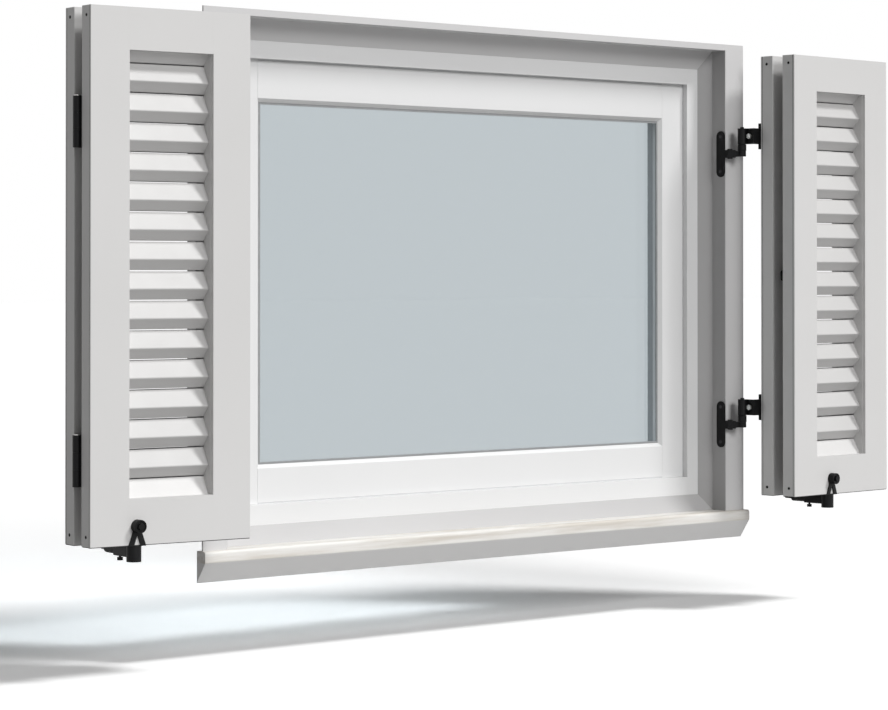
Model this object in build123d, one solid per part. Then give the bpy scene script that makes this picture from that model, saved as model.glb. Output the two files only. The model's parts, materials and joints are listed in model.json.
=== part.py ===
from build123d import *
from math import cos, hypot, radians, sin
import os

# Folding louvred shutters in their window surround, drawn folded open against the wall.
# Millimetres. X runs along the wall, Y into it from the face of the surround, Z up from
# the middle of the leaves. The right-hand side is drawn and the left is its mirror image.

# Leaves and the opening they close
clear_half_width = 702.0
leaf_height = 1000.0
leaf_top = leaf_height / 2
leaf_bottom = -leaf_height / 2
head_clearance = 15.1
sill_clearance = 38.0

# Surround
jamb_face_width = 58.3
jamb_body_width = 17.0
head_face_height = 13.7
face_strip = 4.0
straight_reveal = 42.0
window_plane = 62.0
side_splay = 28.0
head_splay = 41.6
bottom_splay = 36.0
surround_half_width = clear_half_width + jamb_face_width
body_half_width = clear_half_width + jamb_body_width
opening_top = leaf_top + head_clearance
surround_top = opening_top + head_face_height
sill_level = leaf_bottom - sill_clearance

# Sill
sill_horn = 4.7
sill_projection = 14.0
sill_nose_height = 22.0
sill_nose_radius = 6.0
sill_fall_back = 28.0
sill_height = 63.0
sill_half_length = surround_half_width + sill_horn

# Fixed window
window_frame_depth = 60.0
window_frame_side = 34.0
window_frame_head = 36.0
window_frame_bottom = 41.0
window_frame_cover = 10.0
sash_setback = 13.0
sash_side = 75.0
sash_head = 87.0
sash_bottom = 80.0
sash_depth = 50.0
sash_seam_width = 3.0
sash_seam_depth = 13.0
glazing_lip = 10.0
glazing_lip_slope = 8.0
glazing_rebate = 12.0
glass_thickness = 24.0
glass_clearance = 2.0

# Build of a leaf
leaf_thickness = 33.5
side_clearance = 4.0
centre_gap = 6.0
fold_edge_gap = 4.0
fold_gap = 29.3
closed_recess = 3.0
open_turn = 4.36
stile_face = 82.0
top_rail_face = 80.0
bottom_rail_face = 86.0
lip_width = 1.0
lip_depth = 7.5
seam_depth = 4.5
seam_width = 1.2
seam_cut = 1.0

# Slats
slat_pitch = 55.6
slat_nose_depth = 15.0
slat_back_clearance = 0.3
slat_drop = 33.0
slat_return = 20.0
slat_wall = 3.2
slat_nose_radius = 3.0

# Jamb hinges
upper_hinge_from_top = 182.0
lower_hinge_from_bottom = 199.0
hinge_levels = (leaf_top - upper_hinge_from_top, leaf_bottom + lower_hinge_from_bottom)
pintle_offset = 27.3
pintle_standoff = 33.2
pintle_pin_radius = 4.5
pintle_shoulder_radius = 6.0
pintle_tip = 3.0
jamb_plate_drop = 40.0
jamb_plate_width = 25.0
jamb_plate_height = 105.0
jamb_plate_thickness = 3.0
jamb_plate_setback = 1.0
jamb_boss_height = 18.0
jamb_boss_reach = 9.0
arm_height = 12.0
arm_width = 6.0
arm_eye_radius = 9.0
knuckle_radius = 10.0
knuckle_height = 36.0
strap_thickness = 4.5
strap_front_clearance = 0.3
flange_height = 59.0
flange_length = 45.0
flange_thickness = 6.0
strap_bolt_size = 11.0
strap_bolt_shank = 3.0
strap_bolt_head = 4.5
strap_bolt_place = 17.2
plate_screw_place = 40.0
plate_screw_head = 4.0
plate_screw_shank = 2.0
plate_screw_length = 20.0

# Fold hinges
upper_fold_from_top = 214.0
lower_fold_from_bottom = 157.0
fold_hinge_levels = (leaf_top - upper_fold_from_top, leaf_bottom + lower_fold_from_bottom)
fold_hinge_height = 96.0
fold_flap_length = 38.0
fold_flap_thickness = 6.0
fold_knuckle_radius = 8.0
fold_knuckles = 3
fold_pin_radius = 3.0
fold_pin_head = 1.5
knuckle_web = 8.0

# Stays under the front leaves
right_stay_from_inner_edge = 134.0
left_stay_from_outer_edge = 98.0
stay_disc_rise = 35.0
stay_disc_level = leaf_bottom + stay_disc_rise
stay_disc_radius = 12.5
stay_disc_thickness = 14.0
stay_nut_size = 12.0
stay_nut_height = 5.0
stay_strap_width = 11.0
stay_strap_spread = 13.0
stay_strap_thickness = 3.0
stay_foot_thickness = 2.0
stay_hub_radius = 14.0
stay_hub_height = 29.7
stay_stud_radius = 4.0
stay_sleeve_radius = 10.0
stay_sleeve_length = 84.0
stay_rod_radius = 5.0
stay_rod_reach = 23.0
stay_rod_insert = 60.0
stay_screw_place = 52.0
stay_screw_head = 5.5
stay_screw_neck = 2.5
stay_screw_hang = 11.0
stay_screw_grip = 6.0

# Pull on the room face of the right front leaf
pull_height = 40.0
pull_width = 14.0
pull_depth = 20.0
pull_plate = 2.5
pull_inset = 20.0
pull_grip = 7.0

# Clearances
running_clearance = 0.05
end_clearance = 0.3

# Sizes that follow
leaf_width = (2 * (clear_half_width - side_clearance) - centre_gap - 2 * fold_edge_gap) / 4
core_edge = stile_face + lip_width
slat_back = leaf_thickness - slat_back_clearance
slat_run = slat_back - slat_nose_depth
louvre_bottom = leaf_bottom + bottom_rail_face
louvre_top = leaf_top - top_rail_face
slat_room = louvre_top - louvre_bottom - slat_drop - slat_return
slat_count = int(slat_room // slat_pitch)
stay_place = {"right": right_stay_from_inner_edge, "left": leaf_width - left_stay_from_outer_edge}
along = (cos(radians(open_turn)), sin(radians(open_turn)))
inward = (-sin(radians(open_turn)), cos(radians(open_turn)))
pintle = (clear_half_width - side_clearance + pintle_offset, closed_recess - pintle_standoff)
window_half_width = clear_half_width - side_splay
window_top = opening_top - head_splay
window_bottom = sill_level + bottom_splay
sash_half_width = window_half_width - window_frame_side
sash_top = window_top - window_frame_head
sash_low = window_bottom + window_frame_bottom
glass_half_width = sash_half_width - sash_side
glass_top = sash_top - sash_head
glass_bottom = sash_low + sash_bottom


def step_along(start, forward, back):
    """Plan point reached from start along the leaf and towards the wall."""
    x = start[0] + forward * along[0] + back * inward[0]
    y = start[1] + forward * along[1] + back * inward[1]
    return (x, y)


rear_corner = step_along(pintle, pintle_offset, -pintle_standoff)
front_corner = step_along(rear_corner, 0, -2 * leaf_thickness - fold_gap)
fold_axis = step_along(rear_corner, leaf_width + fold_edge_gap / 2, -leaf_thickness - fold_gap / 2)


def block(low, high):
    """Box between two corners."""
    size = [b - a for a, b in zip(low, high)]
    middle = [(a + b) / 2 for a, b in zip(low, high)]
    return Pos(*middle) * Box(*size)


def upright_prism(outline, bottom, top):
    """Plan outline raised from one level to another."""
    face = make_face(Polyline(*[(x, y, bottom) for x, y in outline], close=True))
    return extrude(face, amount=top - bottom, dir=(0, 0, 1))


def lengthwise_prism(outline, start, end):
    """Outline in Y and Z drawn out along X."""
    face = make_face(Polyline(*[(start, y, z) for y, z in outline], close=True))
    return extrude(face, amount=end - start, dir=(1, 0, 0))


def rod(centre, radius, bottom, top):
    """Upright round bar."""
    return Pos(centre[0], centre[1], (bottom + top) / 2) * Cylinder(radius, top - bottom)


def one_solid(shape):
    """The single solid of a result."""
    return shape.solids()[0]


def on_side(shape, side):
    """The right-hand shape, or its mirror image for the left."""
    return shape if side == "right" else shape.mirror(Plane.YZ)


def on_leaf(shape, side, row):
    """Move a shape drawn as width, depth from the street face and height onto its leaf."""
    corner = front_corner
    if row == "rear":
        corner = rear_corner
        shape = shape.mirror(Plane.XZ)
    placed = Pos(corner[0], corner[1], 0) * Rot(0, 0, open_turn) * shape
    return on_side(placed, side)


def save(name, shapes):
    """Write one node, a single solid or a group of them."""
    solids = [solid for shape in shapes for solid in shape.solids()]
    whole = solids[0] if len(solids) == 1 else Compound(children=solids)
    export_step(whole, "parts/" + name + ".step")


def hexagon_bar(size, length):
    """Hexagonal bar standing on the XY plane, size across flats."""
    return extrude(RegularPolygon(size / 2, 6, major_radius=False), amount=length)


# Surround

def jamb_lining():
    """Side of the surround, with its face strip, straight and then splayed to the window."""
    outline = [
        (clear_half_width, 0),
        (surround_half_width, 0),
        (surround_half_width, face_strip),
        (body_half_width, face_strip),
        (body_half_width, window_plane),
        (window_half_width, window_plane),
        (clear_half_width, straight_reveal),
    ]
    return upright_prism(outline, sill_level, opening_top)


def head_lining(jambs):
    """Top of the surround, over the jambs, with its splay between them."""
    strip = block((-surround_half_width, 0, opening_top), (surround_half_width, face_strip, surround_top))
    cap = strip + block((-body_half_width, 0, opening_top), (body_half_width, window_plane, surround_top))
    splay = [
        (straight_reveal, opening_top),
        (window_plane, opening_top),
        (window_plane, window_top),
    ]
    return one_solid(cap + (lengthwise_prism(splay, -clear_half_width, clear_half_width) - jambs))


def bottom_lining(jambs):
    """Sloping board on the sill in front of the window."""
    outline = [
        (straight_reveal, sill_level),
        (window_plane, sill_level),
        (window_plane, window_bottom),
    ]
    return one_solid(lengthwise_prism(outline, -clear_half_width, clear_half_width) - jambs)


def sill():
    """Stone sill with a rounded nose, a fascia that falls back and a horn at each end."""
    nose_bottom = sill_level - sill_nose_height
    wall_side = sill_fall_back - sill_projection
    bottom = sill_level - sill_height
    outline = [
        (wall_side, sill_level),
        (-sill_projection, sill_level),
        (-sill_projection, nose_bottom),
        (wall_side, bottom),
    ]
    front = lengthwise_prism(outline, -sill_half_length, sill_half_length)
    nose = front.edges().filter_by(Axis.X).filter_by_position(Axis.Y, -sill_projection, -sill_projection)
    front = fillet(nose, sill_nose_radius)
    rear = block((-body_half_width, wall_side, bottom), (body_half_width, window_plane, sill_level))
    return one_solid(front + rear)


# Window

def frame_side():
    """Right upright of the outer window frame."""
    low = (sash_half_width, window_plane, window_bottom - window_frame_cover)
    high = (
        window_half_width + window_frame_cover,
        window_plane + window_frame_depth,
        window_top + window_frame_cover,
    )
    return block(low, high)


def frame_rail(bottom, top):
    """Cross member of the outer window frame."""
    low = (-sash_half_width, window_plane, bottom)
    high = (sash_half_width, window_plane + window_frame_depth, top)
    return block(low, high)


def sash_outline(inner, outer):
    """Section of a sash member from its glass edge to its outer edge, as width and Y."""
    turn = 1 if outer > inner else -1
    face = window_plane + sash_setback
    lip_back = face + glazing_lip
    back = face + sash_depth
    seam_back = face + sash_seam_depth
    return [
        (outer - turn * sash_seam_width, face),
        (inner + turn * glazing_lip_slope, face),
        (inner, face + glazing_lip_slope),
        (inner, lip_back),
        (inner + turn * glazing_rebate, lip_back),
        (inner + turn * glazing_rebate, back),
        (outer, back),
        (outer, seam_back),
        (outer - turn * sash_seam_width, seam_back),
    ]


def sash_side_member():
    """Right upright of the sash."""
    return upright_prism(sash_outline(glass_half_width, sash_half_width), sash_low, sash_top)


def sash_rail(inner, outer, sides):
    """Cross member of the sash, coped to the uprights."""
    outline = [(y, z) for z, y in sash_outline(inner, outer)]
    half = sash_half_width - sash_seam_width
    return one_solid(lengthwise_prism(outline, -half, half) - sides)


def glass_pane():
    """Sealed double pane, in the rebate of the sash."""
    edge = glazing_rebate - glass_clearance
    face = window_plane + sash_setback + glazing_lip
    low = (-glass_half_width - edge, face, glass_bottom - edge)
    high = (glass_half_width + edge, face + glass_thickness, glass_top + edge)
    return block(low, high)


def glazing_beads():
    """Four strips that hold the pane from the room."""
    front = window_plane + sash_setback + glazing_lip + glass_thickness
    back = window_plane + sash_setback + sash_depth
    outer_x = glass_half_width + glazing_rebate
    outer_top = glass_top + glazing_rebate
    outer_low = glass_bottom - glazing_rebate
    right = block((glass_half_width, front, outer_low), (outer_x, back, outer_top))
    top = block((-glass_half_width, front, glass_top), (glass_half_width, back, outer_top))
    bottom = block((-glass_half_width, front, outer_low), (glass_half_width, back, glass_bottom))
    return [right, right.mirror(Plane.YZ), top, bottom]


# Leaves, drawn as width from the inner edge, depth from the street face, and height

def stile_outline(inner_edge):
    """Plan section of a stile, rebated round the louvres and grooved along its edge."""
    seam_front = seam_depth - seam_width / 2
    seam_back = seam_depth + seam_width / 2
    outline = [
        (0, 0),
        (stile_face, 0),
        (stile_face, lip_depth),
        (core_edge, lip_depth),
        (core_edge, leaf_thickness),
        (0, leaf_thickness),
        (0, seam_back),
        (seam_cut, seam_back),
        (seam_cut, seam_front),
        (0, seam_front),
    ]
    if inner_edge:
        return outline
    return [(leaf_width - x, y) for x, y in outline]


def stile(inner_edge):
    """Upright of a leaf."""
    return upright_prism(stile_outline(inner_edge), leaf_bottom, leaf_top)


def rail(face_bottom, face_top, core):
    """Cross rail of a leaf, its face and its core coped between the stiles."""
    face = block((stile_face, 0, face_bottom), (leaf_width - stile_face, lip_depth, face_top))
    return one_solid(face + lengthwise_prism(core, core_edge, leaf_width - core_edge))


def top_rail():
    """Top rail, its underside sloped as the slats are."""
    slope = slat_return / slat_run
    ledge = louvre_top - lip_width
    core = [
        (lip_depth, leaf_top),
        (lip_depth, ledge),
        (slat_nose_depth + lip_width / slope, ledge),
        (leaf_thickness, louvre_top - (leaf_thickness - slat_nose_depth) * slope),
        (leaf_thickness, leaf_top),
    ]
    return rail(louvre_top, leaf_top, core)


def bottom_rail():
    """Bottom rail, its top sloped to throw water to the street."""
    slope = slat_drop / slat_run
    core = [
        (lip_depth, leaf_bottom),
        (lip_depth, louvre_bottom),
        (slat_nose_depth, louvre_bottom),
        (leaf_thickness, louvre_bottom + (leaf_thickness - slat_nose_depth) * slope),
        (leaf_thickness, leaf_bottom),
    ]
    return rail(leaf_bottom, louvre_bottom, core)


def slat(nose_level):
    """Bent slat, falling to a nose at the street side and turning back under itself."""
    top = nose_level + slat_drop
    end = nose_level - slat_return
    upper_wall = slat_wall * hypot(slat_run, slat_drop) / slat_run
    lower_wall = slat_wall * hypot(slat_run, slat_return) / slat_run
    upper_slope = slat_drop / slat_run
    lower_slope = slat_return / slat_run
    inner_reach = (top - upper_wall - end - lower_wall) / (upper_slope + lower_slope)
    outline = [
        (slat_back, top),
        (slat_nose_depth, nose_level),
        (slat_back, end),
        (slat_back, end + lower_wall),
        (slat_back - inner_reach, end + lower_wall + inner_reach * lower_slope),
        (slat_back, top - upper_wall),
    ]
    bar = lengthwise_prism(outline, core_edge, leaf_width - core_edge)
    nose = bar.edges().filter_by(Axis.X).sort_by(Axis.Y)[0]
    return one_solid(fillet(nose, slat_nose_radius))


def slats():
    """All the slats of a leaf, at one pitch above the slope of the bottom rail."""
    return [slat(louvre_bottom + (index + 1) * slat_pitch) for index in range(slat_count)]


# Jamb hinges, drawn in place on the right-hand side

def jamb_plate(level):
    """Plate on the jamb with the arm that carries the pintle."""
    middle = level - jamb_plate_drop
    front = jamb_plate_setback
    centre_y = front + jamb_plate_width / 2
    inner = clear_half_width - jamb_plate_thickness
    section = SlotOverall(jamb_plate_height, jamb_plate_width, rotation=90)
    plate = Plane(origin=(inner, centre_y, middle), x_dir=(0, 1, 0), z_dir=(1, 0, 0)) * section
    plate = extrude(plate, amount=jamb_plate_thickness, dir=(1, 0, 0))
    low = (inner, -jamb_boss_reach, middle - jamb_boss_height / 2)
    high = (clear_half_width, centre_y, middle + jamb_boss_height / 2)
    boss = block(low, high)
    start = Vector(clear_half_width - jamb_plate_thickness / 2, -jamb_boss_reach + arm_width / 2, middle)
    end = Vector(pintle[0], pintle[1], middle)
    direction = (end - start).normalized()
    wide = Plane(origin=start, x_dir=(0, 0, 1), z_dir=direction) * Rectangle(jamb_boss_height, arm_width)
    neck = end - direction * (pintle_shoulder_radius + 1)
    slim = Plane(origin=neck, x_dir=(0, 0, 1), z_dir=direction) * Rectangle(arm_height, arm_width)
    arm = loft([wide, slim])
    eye = rod(pintle, arm_eye_radius, middle - arm_height / 2, middle + arm_height / 2)
    hole = rod(pintle, pintle_pin_radius, middle - arm_height, middle + arm_height)
    body = plate + boss + arm + eye - hole
    for screw in plate_screws(level):
        body = body - screw
    return one_solid(body)


def plate_screws(level):
    """Two countersunk screws of a jamb plate."""
    screws = []
    head_face = clear_half_width - jamb_plate_thickness
    for offset in (-plate_screw_place, plate_screw_place):
        place = Plane(
            origin=(head_face, jamb_plate_setback + jamb_plate_width / 2, level - jamb_plate_drop + offset),
            z_dir=(1, 0, 0),
        )
        head_depth = plate_screw_head - plate_screw_shank
        head = Cone(plate_screw_head, plate_screw_shank, head_depth, align=(Align.CENTER, Align.CENTER, Align.MIN))
        shank = Cylinder(
            plate_screw_shank, plate_screw_length, align=(Align.CENTER, Align.CENTER, Align.MIN)
        )
        screws.append(one_solid(place.location * (head + shank)))
    return screws


def pintle_pin(level):
    """Shouldered pin, riveted in the arm, that the leaf turns on."""
    middle = level - jamb_plate_drop
    knuckle_bottom = level - knuckle_height / 2
    knuckle_top = level + knuckle_height / 2
    pin = rod(pintle, pintle_pin_radius, middle - arm_height / 2, knuckle_top + pintle_tip)
    shoulder_top = knuckle_bottom - end_clearance
    shoulder = rod(pintle, pintle_shoulder_radius, middle + arm_height / 2, shoulder_top)
    return one_solid(pin + shoulder)


def hinge_frame(shape):
    """Move a shape drawn round the pintle, along and back from the leaf, into place."""
    return Pos(pintle[0], pintle[1], 0) * Rot(0, 0, open_turn) * shape


def hinge_strap(level):
    """Knuckle, strap and flange of the rear leaf, bent from one plate."""
    bottom = level - knuckle_height / 2
    top = level + knuckle_height / 2
    flange_bottom = level - flange_height / 2
    flange_top = level + flange_height / 2
    strap_inner = knuckle_radius - strap_thickness
    step_back = -pintle_standoff + closed_recess + strap_front_clearance
    step_front = step_back + strap_thickness
    ring = rod((0, 0), knuckle_radius, bottom, top)
    strap = block((strap_inner, step_front - strap_thickness / 2, bottom), (knuckle_radius, 0, top))
    step_end = pintle_offset + strap_thickness
    step = block((strap_inner, step_back, bottom), (step_end, step_front, top))
    turn_up = block((pintle_offset, step_back, flange_bottom), (step_end, step_front, flange_top))
    flange = block(
        (pintle_offset, -pintle_standoff, flange_bottom),
        (pintle_offset + flange_length, -pintle_standoff + flange_thickness, flange_top),
    )
    bore = rod((0, 0), pintle_pin_radius + running_clearance, bottom, top)
    body = ring + strap + step + turn_up + flange - bore - strap_bolt_local(level)
    return one_solid(hinge_frame(body))


def strap_bolt_local(level):
    """Hexagon bolt through the strap, drawn round the pintle."""
    strap_inner = knuckle_radius - strap_thickness
    place = Plane(origin=(strap_inner - strap_bolt_head, -strap_bolt_place, level), z_dir=(1, 0, 0))
    head = hexagon_bar(strap_bolt_size, strap_bolt_head)
    grip = strap_thickness
    shank = Pos(0, 0, strap_bolt_head) * Cylinder(
        strap_bolt_shank, grip, align=(Align.CENTER, Align.CENTER, Align.MIN)
    )
    nut = Pos(0, 0, strap_bolt_head + grip) * hexagon_bar(strap_bolt_size, strap_bolt_head)
    return place.location * (head + shank + nut)


def strap_bolt(level):
    """Bolt of the strap in place."""
    return one_solid(hinge_frame(strap_bolt_local(level)))


# Fold hinges, drawn round the fold axis, along and back from the leaves

def fold_frame(shape):
    """Move a shape drawn round the fold axis into place."""
    return Pos(fold_axis[0], fold_axis[1], 0) * Rot(0, 0, open_turn) * shape


def fold_flap(level, row):
    """Flap with its share of the knuckles, on the room face of one leaf."""
    bottom = level - fold_hinge_height / 2
    pitch = fold_hinge_height / fold_knuckles
    face = fold_gap / 2
    edge = -fold_edge_gap / 2
    flap = block(
        (edge - fold_flap_length, face - fold_flap_thickness, bottom),
        (edge, face, bottom + fold_hinge_height),
    )
    first = 0 if row == "rear" else 1
    for index in range(first, fold_knuckles, 2):
        low = bottom + index * pitch + (end_clearance / 2 if index else 0)
        last = index == fold_knuckles - 1
        high = bottom + (index + 1) * pitch - (0 if last else end_clearance / 2)
        web = block((edge - knuckle_web, 0, low), (edge, face, high))
        flap = flap + web + rod((0, 0), fold_knuckle_radius, low, high)
    bore = rod((0, 0), fold_pin_radius + running_clearance, bottom, bottom + fold_hinge_height)
    flap = one_solid(flap - bore)
    if row == "front":
        flap = flap.mirror(Plane.XZ)
    return fold_frame(flap)


def fold_pin(level):
    """Pin of a fold hinge with a flat head on top."""
    bottom = level - fold_hinge_height / 2
    top = level + fold_hinge_height / 2
    head = fold_pin_radius + 2 * fold_pin_head
    pin = rod((0, 0), fold_pin_radius, bottom, top + fold_pin_head)
    cap = rod((0, 0), head, top, top + fold_pin_head)
    return one_solid(fold_frame(pin + cap))


# Stays, drawn as width, depth and height on their leaf

def stay_centre(side):
    """Place of the stay's stud under the leaf."""
    return (stay_place[side], stay_hub_radius - stay_strap_thickness)


def stay_bracket(side):
    """Disc and two straps on the street face, a foot under the leaf and its stud."""
    middle, depth = stay_centre(side)
    facing = Plane(origin=(middle, 0, stay_disc_level), x_dir=(1, 0, 0), z_dir=(0, -1, 0))
    disc = extrude(facing * Circle(stay_disc_radius), amount=stay_disc_thickness, dir=(0, -1, 0))
    foot_low = leaf_bottom - stay_foot_thickness
    body = disc
    for turn in (-1, 1):
        centre = middle + turn * stay_strap_spread
        half = stay_strap_width / 2
        outline = [(middle - half, stay_disc_level), (middle + half, stay_disc_level)]
        outline = outline + [(centre + half, foot_low), (centre - half, foot_low)]
        face = make_face(Polyline(*[(x, -stay_strap_thickness, z) for x, z in outline], close=True))
        body = body + extrude(face, amount=stay_strap_thickness, dir=(0, 1, 0))
    foot = block(
        (middle - stay_hub_radius, -stay_strap_thickness, foot_low),
        (middle + stay_hub_radius, depth + stay_hub_radius, leaf_bottom),
    )
    hub_bottom = foot_low - end_clearance - stay_hub_height
    stud = rod((middle, depth), stay_stud_radius, hub_bottom, leaf_bottom)
    return one_solid(body + foot + stud)


def stay_nut(side):
    """Nut on the disc of the bracket."""
    facing = Plane(
        origin=(stay_place[side], -stay_disc_thickness, stay_disc_level), x_dir=(1, 0, 0), z_dir=(0, -1, 0)
    )
    nut = extrude(facing * RegularPolygon(stay_nut_size / 2, 6, major_radius=False), amount=stay_nut_height)
    return one_solid(nut)


def stay_levels():
    """Top and bottom of the hub and level of the sleeve."""
    top = leaf_bottom - stay_foot_thickness - end_clearance
    return top, top - stay_hub_height, top - stay_sleeve_radius


def stay_hub(side):
    """Hub on the stud with the sleeve that points to the wall."""
    centre = stay_centre(side)
    top, bottom, level = stay_levels()
    hub = rod(centre, stay_hub_radius, bottom, top)
    reach = stay_hub_radius + stay_sleeve_length
    toward_wall = Plane(origin=(centre[0], centre[1], level), z_dir=(0, 1, 0))
    sleeve = extrude(toward_wall * Circle(stay_sleeve_radius), amount=reach)
    bore_start = Plane(origin=(centre[0], centre[1] + reach, level), z_dir=(0, -1, 0))
    bore = extrude(bore_start * Circle(stay_rod_radius), amount=stay_rod_insert)
    stud_bore = rod(centre, stay_stud_radius + running_clearance, bottom, top)
    body = hub + sleeve - bore - stud_bore - stay_screw(side)
    return one_solid(body)


def stay_rod(side):
    """Rod that slides in the sleeve and stands on the wall."""
    centre = stay_centre(side)
    level = stay_levels()[2]
    sleeve_end = centre[1] + stay_hub_radius + stay_sleeve_length
    start = Plane(origin=(centre[0], sleeve_end - stay_rod_insert, level), z_dir=(0, 1, 0))
    bar = extrude(start * Circle(stay_rod_radius), amount=stay_rod_insert + stay_rod_reach)
    end = bar.edges().filter_by(GeomType.CIRCLE).sort_by(Axis.Y)[-1]
    return one_solid(chamfer(end, 1) - stay_screw(side))


def stay_screw(side):
    """Thumb screw up through the sleeve into the rod."""
    centre = stay_centre(side)
    level = stay_levels()[2]
    place = (centre[0], centre[1] + stay_screw_place)
    neck_top = level - stay_rod_radius + 1
    low = level - stay_sleeve_radius - stay_screw_hang
    neck = rod(place, stay_screw_neck, low + stay_screw_grip, neck_top)
    return one_solid(neck + rod(place, stay_screw_head, low, low + stay_screw_grip))


# Pull, drawn on the room face of its leaf

def inner_pull():
    """Plate with an upright grip near the free edge."""
    face = leaf_thickness
    half = pull_height / 2
    centre = pull_inset
    plate = block(
        (centre - pull_width / 2, face, -half),
        (centre + pull_width / 2, face + pull_plate, half),
    )
    grip = block(
        (centre - pull_grip / 2, face + pull_plate, -half + pull_grip),
        (centre + pull_grip / 2, face + pull_depth, half - pull_grip),
    )
    outer = grip.edges().filter_by(Axis.X).sort_by(Axis.Y)[-2:]
    return one_solid(plate + fillet(outer, pull_grip))


# Writing the nodes

os.makedirs("parts", exist_ok=True)

right_jamb = jamb_lining()
both_jambs = right_jamb + right_jamb.mirror(Plane.YZ)
all_screws = [screw for level in hinge_levels for screw in plate_screws(level)]
drilled_jamb = right_jamb
for fixing in all_screws:
    drilled_jamb = drilled_jamb - fixing
save("right_jamb_lining", [drilled_jamb])
save("left_jamb_lining", [drilled_jamb.mirror(Plane.YZ)])
save("head_lining", [head_lining(both_jambs)])
save("bottom_lining", [bottom_lining(both_jambs)])
save("sill", [sill()])
save("jamb_plate_screws", all_screws + [screw.mirror(Plane.YZ) for screw in all_screws])

frame_bottom_low = window_bottom - window_frame_cover
save("right_window_frame_side", [frame_side()])
save("left_window_frame_side", [frame_side().mirror(Plane.YZ)])
save("window_frame_head", [frame_rail(sash_top, window_top + window_frame_cover)])
save("window_frame_bottom", [frame_rail(frame_bottom_low, sash_low)])

sash_right = sash_side_member()
sash_sides = sash_right + sash_right.mirror(Plane.YZ)
save("right_sash_side", [sash_right])
save("left_sash_side", [sash_right.mirror(Plane.YZ)])
save("sash_head", [sash_rail(glass_top, sash_top, sash_sides)])
save("sash_bottom", [sash_rail(glass_bottom, sash_low, sash_sides)])
save("glass_pane", [glass_pane()])
save("glazing_beads", glazing_beads())

for side in ("right", "left"):
    for row in ("rear", "front"):
        leaf = side + "_" + row + "_leaf_"
        save(leaf + "inner_stile", [on_leaf(stile(True), side, row)])
        save(leaf + "outer_stile", [on_leaf(stile(False), side, row)])
        save(leaf + "top_rail", [on_leaf(top_rail(), side, row)])
        save(leaf + "bottom_rail", [on_leaf(bottom_rail(), side, row)])
        save(leaf + "slats", [on_leaf(bar, side, row) for bar in slats()])
        flaps = [fold_flap(level, row) for level in fold_hinge_levels]
        save(side + "_fold_hinge_" + row + "_flaps", [on_side(flap, side) for flap in flaps])
    save(side + "_fold_hinge_pins", [on_side(fold_pin(level), side) for level in fold_hinge_levels])
    save(side + "_jamb_plates", [on_side(jamb_plate(level), side) for level in hinge_levels])
    save(side + "_pintles", [on_side(pintle_pin(level), side) for level in hinge_levels])
    save(side + "_hinge_straps", [on_side(hinge_strap(level), side) for level in hinge_levels])
    save(side + "_strap_bolts", [on_side(strap_bolt(level), side) for level in hinge_levels])
    bracket_and_nut = [stay_bracket(side), stay_nut(side)]
    save(side + "_stay_bracket", [on_leaf(shape, side, "front") for shape in bracket_and_nut])
    save(side + "_stay_sleeve", [on_leaf(stay_hub(side), side, "front")])
    save(side + "_stay_rod", [on_leaf(stay_rod(side), side, "front")])
    save(side + "_stay_screw", [on_leaf(stay_screw(side), side, "front")])
save("right_inner_pull", [on_leaf(inner_pull(), "right", "front")])
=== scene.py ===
import json
import math

import bmesh
import bpy
from mathutils import Matrix, Vector


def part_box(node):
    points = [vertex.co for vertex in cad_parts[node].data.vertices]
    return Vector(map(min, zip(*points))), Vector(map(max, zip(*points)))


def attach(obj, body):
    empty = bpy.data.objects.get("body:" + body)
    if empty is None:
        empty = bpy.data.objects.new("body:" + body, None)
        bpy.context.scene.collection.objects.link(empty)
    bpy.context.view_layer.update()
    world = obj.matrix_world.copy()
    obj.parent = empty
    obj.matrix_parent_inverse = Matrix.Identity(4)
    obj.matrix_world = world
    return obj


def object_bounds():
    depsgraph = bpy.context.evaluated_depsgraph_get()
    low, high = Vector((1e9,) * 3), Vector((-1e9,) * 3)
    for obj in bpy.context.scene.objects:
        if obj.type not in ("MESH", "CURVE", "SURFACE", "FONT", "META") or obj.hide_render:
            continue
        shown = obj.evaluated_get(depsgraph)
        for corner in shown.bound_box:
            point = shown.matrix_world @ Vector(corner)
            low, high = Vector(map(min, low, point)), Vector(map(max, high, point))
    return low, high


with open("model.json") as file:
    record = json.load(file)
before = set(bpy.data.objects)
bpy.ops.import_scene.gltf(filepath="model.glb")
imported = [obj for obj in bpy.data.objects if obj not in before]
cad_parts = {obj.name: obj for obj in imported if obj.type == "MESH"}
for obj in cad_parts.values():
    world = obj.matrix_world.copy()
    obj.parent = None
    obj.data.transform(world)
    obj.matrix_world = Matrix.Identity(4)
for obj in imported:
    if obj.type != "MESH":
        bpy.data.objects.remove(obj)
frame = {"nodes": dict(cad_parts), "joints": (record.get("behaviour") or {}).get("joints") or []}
cad_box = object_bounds()
nodes = frame["nodes"]
scene = bpy.context.scene

# The view of the photograph, from the street, to the left of the window and at
# the height of the middle of the leaves.
camera_place = (-3.9722, -4.5102, 0.0035)
camera_turn = 40.33
camera_tilt = 0.56
focal_pixels = 2824
picture_width = 888
picture_middle = 355
horizon_row = 246.3
camera_data = bpy.data.cameras.new("photo_camera")
camera_data.sensor_width = 36
camera_data.lens = focal_pixels / picture_width * camera_data.sensor_width
camera_data.shift_y = (horizon_row - picture_middle) / picture_width
camera_data.clip_end = 200
camera = bpy.data.objects.new("photo_camera", camera_data)
camera.location = camera_place
camera.rotation_euler = (math.radians(90 + camera_tilt), 0, math.radians(-camera_turn))
scene.collection.objects.link(camera)
scene.camera = camera


# The leaves are extruded metal bars, cut, joined and powder coated in one pale
# grey. The coat is satin, with a very fine orange peel.
bar_edge_radius = 0.0004


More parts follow.
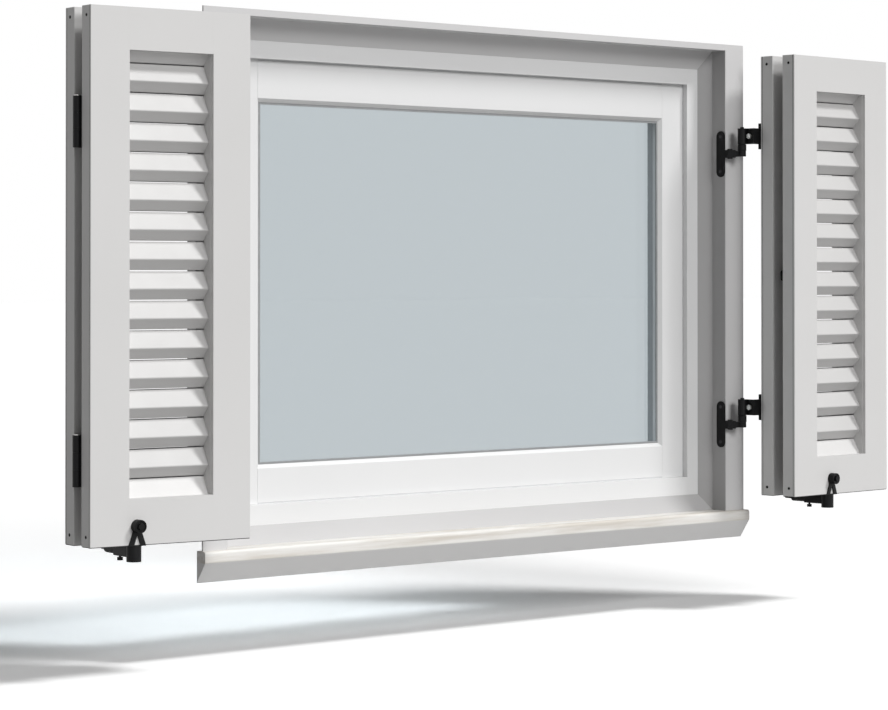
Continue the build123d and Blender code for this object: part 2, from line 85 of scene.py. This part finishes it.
def srgb(red, green, blue):
    """Colour as a screen shows it, from 0 to 255, as the linear values of a shader."""
    def one(value):
        value = value / 255
        return value / 12.92 if value <= 0.04045 else ((value + 0.055) / 1.055) ** 2.4
    return (one(red), one(green), one(blue), 1)


def new_material(name):
    """Empty node material, with its node tree and its shader."""
    made = bpy.data.materials.new(name)
    made.use_nodes = True
    tree = made.node_tree
    return made, tree, tree.nodes["Principled BSDF"]


def add_node(tree, kind, **settings):
    """Node with some of its sockets or settings given."""
    node = tree.nodes.new(kind)
    for key, value in settings.items():
        if key in node.inputs:
            node.inputs[key].default_value = value
        else:
            setattr(node, key, value)
    return node


def object_noise(tree, scale, detail=3.0):
    """Noise over the piece's own coordinates."""
    place = add_node(tree, "ShaderNodeTexCoord")
    noise = add_node(tree, "ShaderNodeTexNoise", Scale=scale, Detail=detail)
    tree.links.new(place.outputs["Object"], noise.inputs["Vector"])
    return noise


def two_tone(tree, factor, low, dark, high, light):
    """Colour that runs from one tone to another between two levels of a factor."""
    ramp = add_node(tree, "ShaderNodeValToRGB")
    ramp.color_ramp.elements[0].position = low
    ramp.color_ramp.elements[0].color = dark
    ramp.color_ramp.elements[1].position = high
    ramp.color_ramp.elements[1].color = light
    tree.links.new(factor, ramp.inputs["Fac"])
    return ramp.outputs["Color"]


def mottle(tree, shader, colour, other, scale):
    """Soft patches of a second colour."""
    patches = object_noise(tree, scale).outputs["Fac"]
    paint = two_tone(tree, patches, low=0.35, dark=other, high=0.65, light=colour)
    tree.links.new(paint, shader.inputs["Base Color"])


def relief(tree, shader, scale, strength, depth, edge_radius):
    """Fine relief of the surface, over edges that are slightly rounded."""
    noise = object_noise(tree, scale, detail=2.0)
    bump = add_node(tree, "ShaderNodeBump", Strength=strength, Distance=depth)
    tree.links.new(noise.outputs["Fac"], bump.inputs["Height"])
    rounding = add_node(tree, "ShaderNodeBevel", Radius=edge_radius, samples=4)
    tree.links.new(rounding.outputs["Normal"], bump.inputs["Normal"])
    tree.links.new(bump.outputs["Normal"], shader.inputs["Normal"])


def uneven_gloss(tree, shader, low, high, scale):
    """Roughness that varies softly over the surface."""
    noise = object_noise(tree, scale)
    spread = add_node(tree, "ShaderNodeMapRange")
    spread.inputs["To Min"].default_value = low
    spread.inputs["To Max"].default_value = high
    tree.links.new(noise.outputs["Fac"], spread.inputs["Value"])
    tree.links.new(spread.outputs["Result"], shader.inputs["Roughness"])


def powder_coat(name, colour, other):
    """Satin powder coat of one colour."""
    made, tree, shader = new_material(name)
    mottle(tree, shader, colour, other, scale=2.5)
    uneven_gloss(tree, shader, low=0.42, high=0.5, scale=30)
    relief(tree, shader, scale=900, strength=0.05, depth=0.0006, edge_radius=bar_edge_radius)
    shader.inputs["Specular IOR Level"].default_value = 0.4
    return made


def dress(names, material):
    """Give CAD nodes their finish."""
    for name in names:
        for holder in nodes[name].material_slots:
            holder.material = material


leaf_coat = powder_coat("leaf_powder_coat", srgb(216, 215, 214), srgb(213, 212, 211))
leaf_names = [name for name in nodes if "_leaf_" in name and not name.endswith("_slats")]
dress(leaf_names, leaf_coat)

# The slats are bent strips of the same metal, caught between the stiles at one
# pitch. Each falls to a nose at the street side and turns back under.
# The slat coat is painted darker than the leaf coat, as painted shade that tones down the light on
# the upturned faces of the slats.
slat_coat_and_painted_shade = powder_coat("slat_coat_with_painted_shade", srgb(201, 200, 199), srgb(198, 197, 196))
dress([name for name in nodes if name.endswith("_slats")], slat_coat_and_painted_shade)


# A small black screw near each end of each edge holds the bars of a leaf together,
# with its head barely proud of the coat. The leaves stand folded open, turned a
# little outwards on their pintles.
joints = {joint["name"]: joint for joint in frame["joints"]}
pintle = Vector(joints["right_swing"]["pos_m"])
open_turn = math.radians(4.36)
leaf_width = 0.3455
leaf_thickness = 0.0335
fold_gap = 0.0293
pintle_offset = 0.0273
pintle_standoff = 0.0332
leaf_half_height = 0.5
along = Vector((math.cos(open_turn), math.sin(open_turn), 0))
inward = Vector((-math.sin(open_turn), math.cos(open_turn), 0))
rear_corner = pintle + along * pintle_offset - inward * pintle_standoff
rear_corner.z = 0
front_corner = rear_corner - inward * (2 * leaf_thickness + fold_gap)
leaves = [(side, row) for side in ("left", "right") for row in ("rear", "front")]


def frame_at(corner, forward, side_way):
    """Place with its X forward, its Y to the side and its Z up."""
    place = Matrix.Identity(4)
    for index in range(3):
        place[index][0] = forward[index]
        place[index][1] = side_way[index]
        place[index][3] = corner[index]
    return place


def leaf_frame(side, row):
    """Place of a leaf: width from its inner edge, depth from its street face, height."""
    corner, depth = (rear_corner, -inward) if row == "rear" else (front_corner, inward)
    place = frame_at(corner, along, depth)
    if side == "left":
        place = Matrix.Scale(-1, 4, (1, 0, 0)) @ place
    return place


def keep_mesh(mesh, name, material, body):
    """Turn a bmesh into a piece that rides on a body."""
    bmesh.ops.recalc_face_normals(mesh, faces=mesh.faces)
    data = bpy.data.meshes.new(name)
    mesh.to_mesh(data)
    mesh.free()
    made = bpy.data.objects.new(name, data)
    scene.collection.objects.link(made)
    data.materials.append(material)
    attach(made, body)


def add_bar(mesh, low, high):
    """Straight bar between two corners."""
    made = bmesh.ops.create_cube(mesh, size=1)
    for vert in made["verts"]:
        vert.co = Vector([a + (b - a) * (c + 0.5) for a, b, c in zip(low, high, vert.co)])


def add_screw_head(mesh, place, radius, height, socket):
    """Round screw head with a chamfered rim and a socket, standing on Z of its place."""
    straight_share = 0.65
    chamfer_share = 0.18
    socket_depth_share = 0.8
    before = set(mesh.verts)
    rim = bmesh.ops.create_circle(mesh, cap_ends=True, radius=radius, segments=20)["verts"]
    face = rim[0].link_faces[0]
    grown = bmesh.ops.extrude_face_region(mesh, geom=[face])
    top = [v for v in grown["geom"] if isinstance(v, bmesh.types.BMVert)]
    cap = [f for f in grown["geom"] if isinstance(f, bmesh.types.BMFace)]
    bmesh.ops.translate(mesh, verts=top, vec=(0, 0, height * straight_share))
    chamfer = radius * chamfer_share
    bmesh.ops.inset_region(mesh, faces=cap, thickness=chamfer, depth=height * (1 - straight_share))
    bmesh.ops.inset_region(mesh, faces=cap, thickness=radius - chamfer - socket)
    socket_floor = bmesh.ops.extrude_face_region(mesh, geom=cap)
    low = [v for v in socket_floor["geom"] if isinstance(v, bmesh.types.BMVert)]
    bmesh.ops.delete(mesh, geom=cap, context="FACES_ONLY")
    bmesh.ops.translate(mesh, verts=low, vec=(0, 0, -height * socket_depth_share))
    made = [v for v in mesh.verts if v not in before]
    bmesh.ops.transform(mesh, matrix=place, verts=made)


black, tree, shader = new_material("black_powder_coat")
mottle(tree, shader, srgb(14, 14, 15), srgb(8.4, 8.4, 9.4), scale=60)
uneven_gloss(tree, shader, low=0.4, high=0.52, scale=140)
relief(tree, shader, scale=1400, strength=0.18, depth=0.0005, edge_radius=0.0006)
shader.inputs["Specular IOR Level"].default_value = 0.16
edge_screw_inset = 0.018
edge_screw_radius = 0.0032
edge_screw_height = 0.0006
edge_screw_socket = 0.0016
for side, row in leaves:
    mesh = bmesh.new()
    for width, turn in ((0, -90), (leaf_width, 90)):
        out_of_edge = Matrix.Rotation(math.radians(turn), 4, "Y")
        for end in (-1, 1):
            height = end * (leaf_half_height - edge_screw_inset)
            spot = Matrix.Translation((width, leaf_thickness / 2, height))
            place = leaf_frame(side, row) @ spot @ out_of_edge
            add_screw_head(mesh, place, edge_screw_radius, edge_screw_height, edge_screw_socket)
    keep_mesh(mesh, f"{side}_{row}_edge_screws", black, f"{side}_{row}_leaf")

# A narrow groove runs down each edge of a leaf, where its two skins meet. It is
# filled with a dark mastic that stays just below the coat.
joint_filler, tree, shader = new_material("joint_filler")
mottle(tree, shader, srgb(52, 52, 52), srgb(40, 40, 40), scale=50)
shader.inputs["Roughness"].default_value = 0.7
groove_depth = 0.0045
groove_half = 0.0006
groove_floor = 0.0009
groove_top = 0.0001
for side, row in leaves:
    mesh = bmesh.new()
    inner_groove = (groove_top, groove_floor)
    outer_groove = (leaf_width - groove_floor, leaf_width - groove_top)
    for low, high in (inner_groove, outer_groove):
        near = (low, groove_depth - groove_half, -leaf_half_height)
        far = (high, groove_depth + groove_half, leaf_half_height)
        add_bar(mesh, near, far)
    bmesh.ops.transform(mesh, matrix=leaf_frame(side, row), verts=list(mesh.verts))
    keep_mesh(mesh, f"{side}_{row}_edge_joints", joint_filler, f"{side}_{row}_leaf")

# A thin strip of the same dark filler lies along the bottom of each leaf, a little inside the
# edges, and gives its bottom edge a dark line.
strip_depth = 0.0014
strip_inset = 0.0006
for side, row in leaves:
    mesh = bmesh.new()
    near = (strip_inset, strip_inset, -leaf_half_height - strip_depth)
    far = (leaf_width - strip_inset, leaf_thickness - strip_inset, -leaf_half_height)
    add_bar(mesh, near, far)
    bmesh.ops.transform(mesh, matrix=leaf_frame(side, row), verts=list(mesh.verts))
    keep_mesh(mesh, f"{side}_{row}_bottom_strip", joint_filler, f"{side}_{row}_leaf")

# The surround is folded from the same metal as the leaves and lines the opening,
# splayed towards the window at the sides, the head and the bottom.
surround_colour = srgb(212, 211, 211)
surround_patches = srgb(208, 207, 207)
surround_coat = powder_coat("surround_powder_coat", surround_colour, surround_patches)
dress(["head_lining"], surround_coat)
# The bottom lining's coat is painted darker than the rest of the surround, as painted shade on its
# upward sloping face.
bottom_lining_painted_shade = powder_coat("bottom_lining_coat_with_painted_shade", srgb(190, 189, 189), srgb(186, 185, 185))
dress(["bottom_lining"], bottom_lining_painted_shade)


# The jambs have the coat of the surround on their face strips. Behind the strips, inside the
# opening, they are painted darker, as painted shade in the reveal.
def object_axis(tree, axis):
    """One of the piece's own coordinates."""
    place = add_node(tree, "ShaderNodeTexCoord")
    split = add_node(tree, "ShaderNodeSeparateXYZ")
    tree.links.new(place.outputs["Object"], split.inputs["Vector"])
    return split.outputs[axis]


def blend(tree, factor, first, second):
    """Mix of two colours, each a colour or the output of a node."""
    mix = add_node(tree, "ShaderNodeMix", data_type="RGBA")
    factor_input, first_input, second_input, result = 0, 6, 7, 2
    tree.links.new(factor, mix.inputs[factor_input])
    for index, colour in ((first_input, first), (second_input, second)):
        if isinstance(colour, bpy.types.NodeSocket):
            tree.links.new(colour, mix.inputs[index])
        else:
            mix.inputs[index].default_value = colour
    return mix.outputs[result]


strip_back = 0.002
jamb_coat_and_painted_shade = powder_coat("jamb_coat_with_painted_shade", surround_colour, surround_patches)
tree = jamb_coat_and_painted_shade.node_tree
jamb_paint = tree.nodes["Principled BSDF"].inputs["Base Color"]
painted_shade_mask = add_node(tree, "ShaderNodeMath", operation="GREATER_THAN")
painted_shade_mask.inputs[1].default_value = strip_back
tree.links.new(object_axis(tree, "Y"), painted_shade_mask.inputs[0])
strip_paint = jamb_paint.links[0].from_socket
# The darker colour behind the face strips is painted shade.
coat_and_painted_shade = blend(tree, painted_shade_mask.outputs["Value"], strip_paint, srgb(170, 169, 169))
tree.links.new(coat_and_painted_shade, jamb_paint)
dress(["left_jamb_lining", "right_jamb_lining"], jamb_coat_and_painted_shade)

# The sill is cast stone. Its nose is rubbed smooth and shows faint brown clouds drawn
# out along it, and the fascia under it is plain.
stone, tree, shader = new_material("cast_stone")
sill_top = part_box("sill")[1].z
nose_height = 0.022
nose_blend = 0.002
cloud_scale = (4, 60, 60)
brown = srgb(210, 204, 195)
cream = srgb(233, 231, 227)
place = add_node(tree, "ShaderNodeTexCoord")
drawn_out = add_node(tree, "ShaderNodeMapping")
drawn_out.inputs["Scale"].default_value = cloud_scale
clouds = add_node(tree, "ShaderNodeTexNoise", Scale=1.0, Detail=6.0, Roughness=0.6)
tree.links.new(place.outputs["Object"], drawn_out.inputs["Vector"])
tree.links.new(drawn_out.outputs["Vector"], clouds.inputs["Vector"])
clouded = two_tone(tree, clouds.outputs["Fac"], low=0.36, dark=brown, high=0.6, light=cream)
on_nose = add_node(tree, "ShaderNodeMapRange")
on_nose.inputs["From Min"].default_value = sill_top - nose_height - nose_blend
on_nose.inputs["From Max"].default_value = sill_top - nose_height
tree.links.new(object_axis(tree, "Z"), on_nose.inputs["Value"])
stone_colour = blend(tree, on_nose.outputs["Result"], srgb(231, 230, 229), clouded)
tree.links.new(stone_colour, shader.inputs["Base Color"])
uneven_gloss(tree, shader, low=0.55, high=0.75, scale=60)
relief(tree, shader, scale=420, strength=0.2, depth=0.001, edge_radius=0.0012)
dress(["sill"], stone)

# The window is a fixed light in white plastic, an outer frame with a sash set
# back in it. The plastic is smooth and a little glossy.
white_plastic, tree, shader = new_material("white_window_plastic")
mottle(tree, shader, srgb(232, 232, 232), srgb(230, 230, 230), scale=3)
uneven_gloss(tree, shader, low=0.3, high=0.36, scale=20)
relief(tree, shader, scale=500, strength=0.02, depth=0.0005, edge_radius=0.0012)
shader.inputs["Specular IOR Level"].default_value = 0.45
window_names = [name for name in nodes if "window_frame" in name or "sash" in name]
dress(window_names + ["glazing_beads"], white_plastic)


# The pane is sealed double glazing. It is clear with a cool tint, and lets light
# through to what stands behind it.
def show_either(tree, factor, first, second):
    """Send a mix of two shaders to the surface."""
    mix = add_node(tree, "ShaderNodeMixShader")
    first_input, second_input = 1, 2
    tree.links.new(factor, mix.inputs["Fac"])
    tree.links.new(first.outputs["BSDF"], mix.inputs[first_input])
    tree.links.new(second.outputs["BSDF"], mix.inputs[second_input])
    tree.links.new(mix.outputs["Shader"], tree.nodes["Material Output"].inputs["Surface"])


glass, tree, shader = new_material("tinted_glass")
shader.inputs["Base Color"].default_value = srgb(188, 196, 200)
shader.inputs["Roughness"].default_value = 0.02
shader.inputs["IOR"].default_value = 1.45
shader.inputs["Transmission Weight"].default_value = 1.0
rays = add_node(tree, "ShaderNodeLightPath")
lets_through = add_node(tree, "ShaderNodeBsdfTransparent", Color=srgb(236, 240, 242))
show_either(tree, rays.outputs["Is Shadow Ray"], shader, lets_through)
dress(["glass_pane"], glass)


# A grey rubber gasket runs round the pane in the lip of the sash. It is pressed in
# from the street side and seals the glass.
def add_ring(mesh, half_width, bottom, top, width, front, back):
    """Four bars round an upright opening, the upper and lower ones between the sides."""
    add_bar(mesh, (-half_width, front, bottom), (-half_width + width, back, top))
    add_bar(mesh, (half_width - width, front, bottom), (half_width, back, top))
    inner = half_width - width
    add_bar(mesh, (-inner, front, bottom), (inner, back, bottom + width))
    add_bar(mesh, (-inner, front, top - width), (inner, back, top))


gasket_rubber, tree, shader = new_material("gasket_rubber")
mottle(tree, shader, srgb(150, 152, 153), srgb(142, 144, 145), scale=40)
shader.inputs["Roughness"].default_value = 0.6
pane_low, pane_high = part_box("glass_pane")
pane_edge = 0.010
gasket_width = 0.004
gasket_depth = 0.003
glass_half = pane_high.x - pane_edge
glass_low = pane_low.z + pane_edge
glass_high = pane_high.z - pane_edge
gasket_front = pane_low.y - gasket_depth
mesh = bmesh.new()
add_ring(mesh, glass_half, glass_low, glass_high, gasket_width, gasket_front, pane_low.y)
keep_mesh(mesh, "street_gasket", gasket_rubber, "surround")

# Inside the sealed unit a pale spacer runs round the edge and keeps the two sheets
# of glass apart. It is a thin folded metal section.
spacer_metal, tree, shader = new_material("spacer_bar")
mottle(tree, shader, srgb(232, 233, 234), srgb(226, 227, 228), scale=30)
shader.inputs["Roughness"].default_value = 0.5
spacer_inset = 0.0008
spacer_width = pane_edge - spacer_inset
spacer_half = pane_high.x - spacer_inset
spacer_low = pane_low.z + spacer_inset
spacer_high = pane_high.z - spacer_inset
near = pane_low.y + spacer_inset
far = pane_high.y - spacer_inset
mesh = bmesh.new()
add_ring(mesh, spacer_half, spacer_low, spacer_high, spacer_width, near, far)
keep_mesh(mesh, "spacer_bars", spacer_metal, "surround")

# A pale rubber seal fills the gap between the sash and the outer frame, just behind
# their street faces.
seal_rubber, tree, shader = new_material("pale_seal")
mottle(tree, shader, srgb(214, 215, 216), srgb(208, 209, 210), scale=40)
shader.inputs["Roughness"].default_value = 0.6
sash_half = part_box("right_sash_side")[1].x
sash_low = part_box("sash_bottom")[0].z
sash_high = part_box("sash_head")[1].z
sash_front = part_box("sash_head")[0].y
seam_width = 0.003
seal_setback = 0.0004
seal_depth = 0.012
seal_front = sash_front + seal_setback
seal_back = sash_front + seal_depth
mesh = bmesh.new()
add_ring(mesh, sash_half, sash_low, sash_high, seam_width, seal_front, seal_back)
keep_mesh(mesh, "sash_seal", seal_rubber, "surround")

# Hinges, stays and the pull are cast and bent steel under a black powder coat. They
# are screwed to the jambs and to the leaves.
cast_and_bent = ("_jamb_plates", "_pintles", "_hinge_straps", "_flaps", "_stay_bracket")
sliding_and_held = ("_stay_sleeve", "_stay_rod", "_stay_screw", "_pull")
dress([name for name in nodes if name.endswith(cast_and_bent + sliding_and_held)], black)

# The countersunk screws of the jamb plates are blackened steel, and shinier than
# the coat of the plates.
blackened, tree, shader = new_material("blackened_steel")
mottle(tree, shader, srgb(72, 72, 74), srgb(48, 48, 50), scale=200)
uneven_gloss(tree, shader, low=0.25, high=0.4, scale=160)
relief(tree, shader, scale=900, strength=0.1, depth=0.0003, edge_radius=0.0004)
shader.inputs["Metallic"].default_value = 0.9
dress(["jamb_plate_screws"], blackened)

# Round-headed screws hold the flange of each strap on the rear leaf and both flaps of
# each fold hinge. They are black, as the flanges and the flaps are.
head_radius = 0.0034
head_height = 0.0014
head_socket = 0.0015
strap_levels = (0.318, -0.301)
flange_rows = (0.019, -0.019)
flange_columns = (0.018, 0.037)
flange_thickness = 0.006
fold_levels = (0.286, -0.343)
flap_rows = (0.034, -0.034)
flap_columns = (0.012, 0.031)
flap_thickness = 0.006
rear_flap_face = -leaf_thickness - flap_thickness
front_flap_face = -leaf_thickness - fold_gap + flap_thickness


def screw_grid(levels, rows, columns, depth, facing):
    """Places of screws by level, row and width on a leaf, with their axes along facing."""
    turn = facing.to_track_quat("Z", "X").to_matrix().to_4x4()
    places = []
    for level in levels:
        for row in rows:
            for width in columns:
                height = Vector((0, 0, level + row))
                spot = rear_corner + along * width + inward * depth + height
                places.append(Matrix.Translation(spot) @ turn)
    return places


def mirror_for(side, mesh):
    """Mirror image, for the left side, of what was made for the right."""
    if side == "left":
        bmesh.ops.scale(mesh, vec=(-1, 1, 1), verts=list(mesh.verts))


def fasten(name, places, side, body):
    """Screws at their places on one body."""
    mesh = bmesh.new()
    for place in places:
        add_screw_head(mesh, place, head_radius, head_height, head_socket)
    mirror_for(side, mesh)
    keep_mesh(mesh, name, black, body)


flap_widths = [leaf_width - column for column in flap_columns]
strap_places = screw_grid(strap_levels, flange_rows, flange_columns, flange_thickness, inward)
rear_places = screw_grid(fold_levels, flap_rows, flap_widths, rear_flap_face, -inward)
front_places = screw_grid(fold_levels, flap_rows, flap_widths, front_flap_face, inward)
for side in ("left", "right"):
    fasten(f"{side}_strap_screws", strap_places, side, f"{side}_rear_leaf")
    fasten(f"{side}_rear_flap_screws", rear_places, side, f"{side}_rear_leaf")
    fasten(f"{side}_front_flap_screws", front_places, side, f"{side}_front_leaf")


# The arm of each jamb plate is forged, with a stepped root at the jamb and a collar
# turned on the pin under the knuckle. The edges of the steps are softly rounded.
def turned_ring(mesh, outline, place):
    """Ring turned from a closed outline of radius and height pairs."""
    before = set(mesh.verts)
    section = [mesh.verts.new((radius, 0, height)) for radius, height in outline]
    edges = [mesh.edges.new(pair) for pair in zip(section, section[1:] + section[:1])]
    bmesh.ops.spin(
        mesh, geom=section + edges, axis=(0, 0, 1), cent=(0, 0, 0),
        angle=2 * math.pi, steps=36, use_merge=True,
    )
    made = [v for v in mesh.verts if v not in before]
    bmesh.ops.transform(mesh, matrix=place, verts=made)


def forged_block(mesh, low, high, place, edge):
    """Block with rounded edges, at a place."""
    before = set(mesh.verts)
    add_bar(mesh, low, high)
    made = [v for v in mesh.verts if v not in before]
    edges = list({e for v in made for e in v.link_edges})
    bmesh.ops.bevel(
        mesh, geom=edges, offset=edge, segments=2, affect="EDGES", profile=0.5, material=-1
    )
    made = [v for v in mesh.verts if v not in before]
    bmesh.ops.transform(mesh, matrix=place, verts=made)


arm_drop = 0.040
arm_start = Vector((0.7005, -0.006, 0))
arm_way = (Vector((pintle.x, pintle.y, 0)) - arm_start).normalized()
arm_side = Vector((-arm_way.y, arm_way.x, 0))
root_block = ((0.001, -0.0048, -0.0115), (0.013, 0.0048, 0.0115))
second_block = ((0.0125, -0.0042, -0.0088), (0.020, 0.0042, 0.0088))
step_edge = 0.001
collar_bottom = 0.0062
collar_top = 0.0215
collar_radius = 0.0098
collar_bore = 0.0061
collar_edge = 0.0012
collar_outline = [
    (collar_bore, collar_bottom),
    (collar_radius - collar_edge, collar_bottom),
    (collar_radius, collar_bottom + collar_edge),
    (collar_radius, collar_top - collar_edge),
    (collar_radius - collar_edge, collar_top),
    (collar_bore, collar_top),
]
for side in ("left", "right"):
    mesh = bmesh.new()
    for level in strap_levels:
        middle = level - arm_drop
        place = frame_at(arm_start + Vector((0, 0, middle)), arm_way, arm_side)
        for low, high in (root_block, second_block):
            forged_block(mesh, low, high, place, step_edge)
        turned_ring(mesh, collar_outline, Matrix.Translation((pintle.x, pintle.y, middle)))
    mirror_for(side, mesh)
    keep_mesh(mesh, f"{side}_arm_forgings", black, "surround")

# Each stay has a flat-topped cast arm round its sleeve, deeper over the half next to
# the hub, where the thumb screw comes through.
stay_drop = 0.0023
stay_top = -leaf_half_height - stay_drop
arm_cap = ((-0.0106, 0.009, -0.0065), (0.0106, 0.0978, 0))
arm_cap_edge = 0.0012
deep_part = ((-0.0108, 0.009, -0.0215), (0.0108, 0.060, -0.004))
deep_part_edge = 0.0015
for side in ("left", "right"):
    hub = Vector(joints[f"{side}_stay_turn"]["pos_m"])
    place = frame_at(Vector((abs(hub.x), hub.y, stay_top)), along, inward)
    mesh = bmesh.new()
    forged_block(mesh, *arm_cap, place, arm_cap_edge)
    forged_block(mesh, *deep_part, place, deep_part_edge)
    mirror_for(side, mesh)
    keep_mesh(mesh, f"{side}_stay_casting", black, f"{side}_stay_arm")

# A raised rim stands round the nut on the disc of each stay's bracket, in one piece
# with the disc. The left disc is fixed further from the window than the right one.
disc_place = {"left": 0.2475, "right": 0.134}
disc_level = -0.465
disc_face = -0.014
rim_bore = 0.0094
rim_radius = 0.0125
rim_height = 0.0018
rim_edge = 0.0006
rim_outline = [
    (rim_bore, 0),
    (rim_radius, 0),
    (rim_radius, rim_height - rim_edge),
    (rim_radius - rim_edge, rim_height),
    (rim_bore + rim_edge, rim_height),
    (rim_bore, rim_height - rim_edge),
]
facing_street = Matrix.Rotation(math.radians(90), 4, "X")
for side in ("left", "right"):
    mesh = bmesh.new()
    spot = Matrix.Translation((disc_place[side], disc_face, disc_level))
    turned_ring(mesh, rim_outline, leaf_frame(side, "front") @ spot @ facing_street)
    keep_mesh(mesh, f"{side}_stay_rim", black, f"{side}_front_leaf")

# The hexagon bolts of the straps and the pins of the fold hinges are bare steel,
# drawn and lightly worn.
steel, tree, shader = new_material("bare_steel")
mottle(tree, shader, srgb(214, 213, 210), srgb(186, 185, 182), scale=90)
uneven_gloss(tree, shader, low=0.25, high=0.42, scale=120)
relief(tree, shader, scale=700, strength=0.1, depth=0.0004, edge_radius=0.0004)
shader.inputs["Metallic"].default_value = 1.0
dress([name for name in nodes if name.endswith(("_strap_bolts", "_fold_hinge_pins"))], steel)


# Plain pale floor under the part, in white surroundings. Camera, mirror and glass
# rays see them white, and the floor keeps the part's shadow.
def seen_white(tree):
    """One for camera, glass and mirror rays, and zero for all others."""
    rays = add_node(tree, "ShaderNodeLightPath")
    seen = rays.outputs["Is Camera Ray"]
    for kind in ("Is Transmission Ray", "Is Glossy Ray"):
        either = add_node(tree, "ShaderNodeMath", operation="MAXIMUM")
        tree.links.new(seen, either.inputs[0])
        tree.links.new(rays.outputs[kind], either.inputs[1])
        seen = either.outputs["Value"]
    return seen


floor_drop = 0.16
floor_level = cad_box[0].z - floor_drop
floor_half = 60
lit_tone = (0.42, 0.42, 0.42, 1)
seen_tone = (1.3, 1.3, 1.3, 1)
mesh = bmesh.new()
bmesh.ops.create_grid(mesh, x_segments=1, y_segments=1, size=floor_half)
bmesh.ops.translate(mesh, verts=mesh.verts, vec=(0, 0, floor_level))
data = bpy.data.meshes.new("floor")
mesh.to_mesh(data)
mesh.free()
floor = bpy.data.objects.new("floor", data)
scene.collection.objects.link(floor)
floor_paint, tree, shader = new_material("floor_paint")
floor_tone = blend(tree, seen_white(tree), lit_tone, seen_tone)
tree.links.new(floor_tone, shader.inputs["Base Color"])
shader.inputs["Roughness"].default_value = 1.0
shader.inputs["Specular IOR Level"].default_value = 0.0
rays = add_node(tree, "ShaderNodeLightPath")
clear = add_node(tree, "ShaderNodeBsdfTransparent")
show_either(tree, rays.outputs["Is Transmission Ray"], shader, clear)
data.materials.append(floor_paint)

# An even fill comes from all round, a little stronger from the street side than
# from behind.
world = bpy.data.worlds.new("studio")
scene.world = world
world.use_nodes = True
tree = world.node_tree
background = tree.nodes["Background"]
street_fill = 0.16
room_fill = 0.12
change_half = 0.3
facing = add_node(tree, "ShaderNodeTexCoord")
heading = add_node(tree, "ShaderNodeSeparateXYZ")
tree.links.new(facing.outputs["Generated"], heading.inputs["Vector"])
around = add_node(tree, "ShaderNodeMapRange")
around.inputs["From Min"].default_value = -change_half
around.inputs["From Max"].default_value = change_half
around.inputs["To Min"].default_value = street_fill
around.inputs["To Max"].default_value = room_fill
tree.links.new(heading.outputs["Y"], around.inputs["Value"])
fill = add_node(tree, "ShaderNodeMapRange")
fill.inputs["To Max"].default_value = 1.0
tree.links.new(around.outputs["Result"], fill.inputs["To Min"])
tree.links.new(seen_white(tree), fill.inputs["Value"])
tree.links.new(fill.outputs["Result"], background.inputs["Strength"])
background.inputs["Color"].default_value = (1, 1, 1, 1)


# A key light comes from the front, high on the right, and a softer one from straight
# in front.
def add_sun(name, strength, spread, from_direction):
    """Distant light from one direction, with soft shadows."""
    data = bpy.data.lights.new(name, "SUN")
    data.energy = strength
    data.angle = math.radians(spread)
    light = bpy.data.objects.new(name, data)
    light.rotation_euler = Vector(from_direction).to_track_quat("Z", "Y").to_euler()
    scene.collection.objects.link(light)


add_sun("key_light", strength=1.9, spread=12, from_direction=(0.75, -1.0, 1.4))
add_sun("front_light", strength=1.42, spread=24, from_direction=(0.02, -1.0, 0.5))

scene.cycles.diffuse_bounces = 2
scene.view_settings.view_transform = "Standard"
